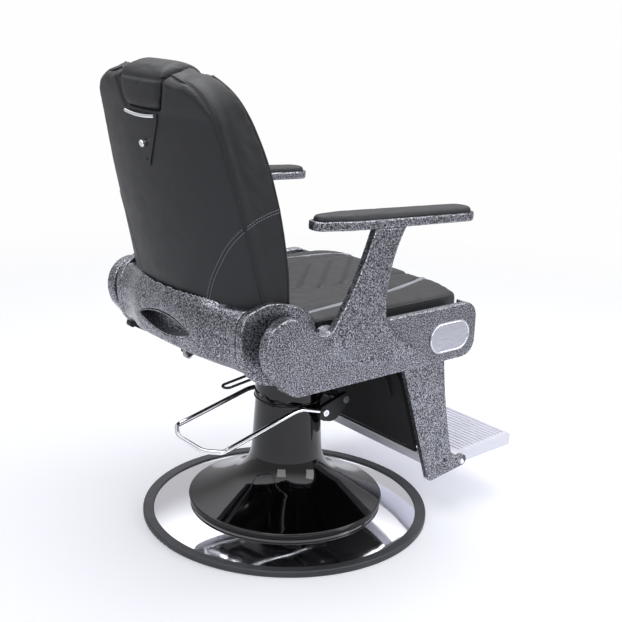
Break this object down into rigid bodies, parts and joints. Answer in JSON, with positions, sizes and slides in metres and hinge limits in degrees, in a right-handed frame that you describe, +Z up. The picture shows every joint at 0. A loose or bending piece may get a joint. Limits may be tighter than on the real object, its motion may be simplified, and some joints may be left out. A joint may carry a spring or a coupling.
{
  "type": "hydraulic barber chair",
  "caption": "Hydraulic barber chair: round chromed base, black bell and column, pump lever, padded seat, armrests, reclining back with sliding headrest, legrest and footrest.",
  "frame": {"origin": "centre of the round base's flat underside, on the floor, on the column's axis", "axes": "+Z up along the column, -Y the way the chair faces, -X the sitter's right-hand side"},
  "size_m": [0.7, 0.9528, 1.1148],
  "materials": {
    "rubber_black": "satin",
    "cast_black": "painted satin",
    "chrome": "mirror chrome plate",
    "enamel_black": "gloss black enamel",
    "steel": "ground",
    "bronze": "satin",
    "frame_black": "satin black powder coat",
    "casting_grey": "hammered silver-vein enamel",
    "moulding_grey": "hammered silver-vein enamel",
    "plate_grey": "hammered silver-vein enamel",
    "nylon_black": "satin",
    "vinyl_black": "satin coated, grained",
    "plywood": "sealed",
    "plate_silver": "satin",
    "foot_cast": "cast, brushed ribs"
  },
  "bodies": {
    "base": {"base_plate": "cast_black", "rim_ring": "rubber_black", "base_cover": "chrome", "bell_cover": "enamel_black", "pump_cylinder": "steel", "cylinder_bolts": "steel", "bearing_ring": "bronze"},
    "pump_head": {"head_housing": "cast_black", "head_bush": "bronze", "head_cover": "enamel_black"},
    "pump_plunger": {"pump_plunger": "steel"},
    "pump_lever": {"lever_axle": "steel", "lever_arm_right": "cast_black", "lever_arm_left": "cast_black", "lever_rod": "chrome", "lever_ferrules": "chrome"},
    "seat": {"piston_rod": "steel", "seat_mount": "cast_black", "mount_bolts": "steel", "seat_frame": "frame_black", "strut_barrel": "frame_black", "frame_pins": "steel", "side_housing_right": "casting_grey", "side_housing_left": "casting_grey", "pivot_pins": "steel", "pivot_washers": "nylon_black", "armrest_tray_right": "moulding_grey", "armrest_tray_left": "moulding_grey", "armrest_pad_right": "vinyl_black", "armrest_pad_left": "vinyl_black", "badge_plate": "plate_silver", "seat_board": "plywood", "seat_cushion": "vinyl_black"},
    "backrest": {"back_board": "plywood", "backrest_cushion": "vinyl_black", "back_panel": "vinyl_black", "back_frame": "frame_black", "recline_disc_right": "moulding_grey", "recline_disc_left": "moulding_grey", "back_shroud": "moulding_grey", "grip_cup": "moulding_grey", "headrest_guide": "nylon_black", "guide_cover": "frame_black", "guide_trim": "chrome"},
    "headrest": {"headrest_pad": "vinyl_black", "headrest_stem": "steel"},
    "headrest_button": {"release_button": "chrome"},
    "legrest": {"leg_plate_right": "plate_grey", "leg_plate_left": "plate_grey", "legrest_axle": "steel", "foot_pins": "steel", "cross_bar": "foot_cast", "calf_board": "plywood", "calf_pad": "vinyl_black", "calf_hangers": "frame_black"},
    "footrest": {"foot_plate": "foot_cast"},
    "legrest_link": {"legrest_link": "frame_black"},
    "strut_rod": {"strut_rod": "steel"},
    "recline_lever": {"recline_lever": "frame_black"}
  },
  "joints": [
    {"name": "swivel", "type": "hinge", "parent": "base", "child": "pump_head", "pos_m": [0, 0, 0.298], "axis": [0, 0, 1], "continuous": true},
    {"name": "pump_lever_swing", "type": "hinge", "parent": "pump_head", "child": "pump_lever", "pos_m": [0, -0.1, 0.298], "axis": [-1, 0, 0], "range_deg": [0, 20], "stiffness_Nm_per_rad": 30, "springref_deg": -20.05},
    {"name": "plunger_slide", "type": "slide", "parent": "pump_head", "child": "pump_plunger", "axis": [0, 0, -1], "range_m": [0, 0.013]},
    {"name": "seat_lift", "type": "slide", "parent": "pump_head", "child": "seat", "axis": [0, 0, 1], "range_m": [0, 0.15]},
    {"name": "recline", "type": "hinge", "parent": "seat", "child": "backrest", "pos_m": [0, 0.248, 0.552], "axis": [-1, 0, 0], "range_deg": [0, 50]},
    {"name": "headrest_slide", "type": "slide", "parent": "backrest", "child": "headrest", "axis": [0, 0.2656, 0.9641], "range_m": [0, 0.1]},
    {"name": "headrest_button", "type": "slide", "parent": "backrest", "child": "headrest_button", "axis": [0, -0.9641, 0.2656], "range_m": [0, 0.003], "stiffness_N_per_m": 1500, "springref_m": -0.002},
    {"name": "legrest_swing", "type": "hinge", "parent": "seat", "child": "legrest", "pos_m": [0, -0.235, 0.45], "axis": [-1, 0, 0], "range_deg": [0, 65]},
    {"name": "footrest_fold", "type": "hinge", "parent": "legrest", "child": "footrest", "pos_m": [0, -0.349, 0.136], "axis": [-1, 0, 0], "range_deg": [0, 80]},
    {"name": "recline_lever", "type": "hinge", "parent": "seat", "child": "recline_lever", "pos_m": [-0.1, 0.15, 0.405], "axis": [1, 0, 0], "range_deg": [0, 12], "stiffness_Nm_per_rad": 4, "springref_deg": -8.59},
    {"name": "legrest_link_pivot", "type": "hinge", "parent": "backrest", "child": "legrest_link", "pos_m": [0.242, 0.28791, 0.46642], "axis": [-1, 0, 0], "range_deg": [-50, 0]},
    {"name": "strut_slide", "type": "slide", "parent": "seat", "child": "strut_rod", "axis": [0, -1, 0], "range_m": [0, 0.081]}
  ],
  "couplings": [
    {"joint": "plunger_slide", "follows": "pump_lever_swing", "m_per_rad": 0.037},
    {"joint": "legrest_swing", "follows": "recline", "ratio": 1.3},
    {"joint": "legrest_link_pivot", "follows": "recline", "ratio": -1},
    {"joint": "strut_slide", "follows": "recline", "m_per_rad": 0.091456}
  ]
}
